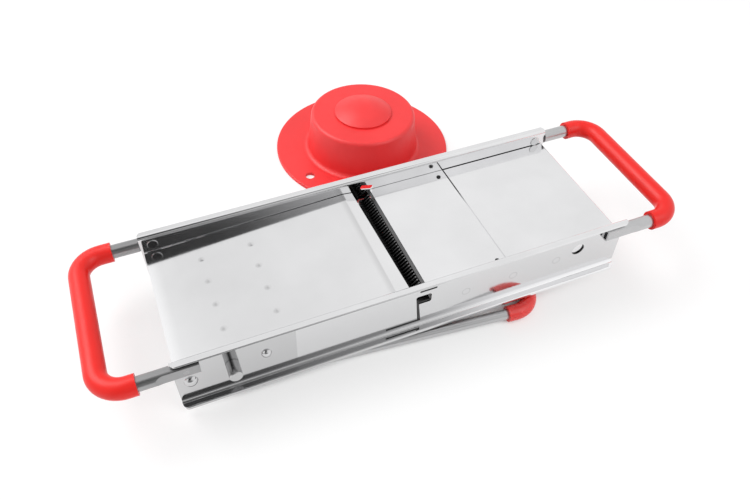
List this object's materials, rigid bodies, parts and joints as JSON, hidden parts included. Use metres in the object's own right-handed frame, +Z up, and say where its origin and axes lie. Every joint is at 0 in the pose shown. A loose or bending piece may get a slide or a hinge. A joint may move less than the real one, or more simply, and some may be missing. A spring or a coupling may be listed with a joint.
{
  "type": "mandoline slicer",
  "caption": "Steel kitchen slicer with a hinged ramp, straight blade, pull-out julienne comb, red tube grips, a fold-down leg and a red hat-shaped food pusher.",
  "frame": {"origin": "on the floor, at the middle of the rectangle that slicer and pusher cover together", "axes": "+X along the rails from the ramp end to the fixed-table end, +Y across towards the pusher, +Z up"},
  "size_m": [0.4174, 0.3024, 0.0616],
  "materials": {
    "polished_steel": "polished",
    "satin_steel": "fine satin",
    "blade_steel": "ground",
    "dark_steel": "dark hardened",
    "tube_steel": "satin",
    "small_steel": "bright",
    "red_grip": "soft matte red",
    "red_plastic": "soft matte red"
  },
  "bodies": {
    "frame": {"near_side_rail": "polished_steel", "far_side_rail": "polished_steel", "table_carrier": "satin_steel", "fixed_table": "satin_steel", "blade_plate": "satin_steel", "main_blade": "blade_steel", "blade_screws": "small_steel", "blade_nuts": "small_steel", "left_handle_tube": "tube_steel", "right_handle_tube": "tube_steel", "left_grip": "red_grip", "right_grip": "red_grip", "handle_rivets": "small_steel", "ramp_hinge_rod": "small_steel", "ramp_guide_rivets": "small_steel", "leg_pivot_rivets": "small_steel", "leg_pivot_bushes": "small_steel"},
    "ramp": {"ramp_plate": "satin_steel", "ramp_stiffener": "satin_steel"},
    "thickness_adjuster": {"thickness_shaft": "small_steel", "thickness_cams": "small_steel", "thickness_knob": "polished_steel", "shaft_clip": "small_steel"},
    "leg": {"leg_tube": "tube_steel", "leg_grip": "red_grip"},
    "julienne_insert": {"julienne_carrier": "dark_steel", "julienne_comb": "dark_steel"},
    "pusher": {"pusher_brim": "red_plastic", "pusher_crown": "red_plastic", "pusher_top": "red_plastic"},
    "plunger": {"plunger_head": "red_plastic", "plunger_stem": "red_plastic", "spike_plate": "red_plastic", "plunger_spikes": "small_steel", "stem_screw": "small_steel"}
  },
  "joints": [
    {"name": "leg_fold", "type": "hinge", "parent": "frame", "child": "leg", "pos_m": [-0.15091, -0.08158, 0.02708], "axis": [0, 1, 0], "range_deg": [0, 80]},
    {"name": "thickness_turn", "type": "hinge", "parent": "frame", "child": "thickness_adjuster", "pos_m": [-0.12486, -0.08158, 0.03238], "axis": [0, 1, 0], "range_deg": [0, 181]},
    {"name": "ramp_tilt", "type": "hinge", "parent": "frame", "child": "ramp", "pos_m": [-0.15413, -0.08158, 0.03421], "axis": [0, 1, 0], "range_deg": [0, 3.4]},
    {"name": "insert_slide", "type": "slide", "parent": "frame", "child": "julienne_insert", "axis": [0, -1, 0], "range_m": [0, 0.11]},
    {"name": "pusher_lift", "type": "slide", "parent": "frame", "child": "pusher", "axis": [0, 0, 1], "range_m": [0, 0.1]},
    {"name": "plunger_slide", "type": "slide", "parent": "pusher", "child": "plunger", "axis": [0, 0, 1], "range_m": [0, 0.018]}
  ],
  "couplings": [
    {"joint": "thickness_turn", "follows": "ramp_tilt", "ratio": 52.841}
  ]
}
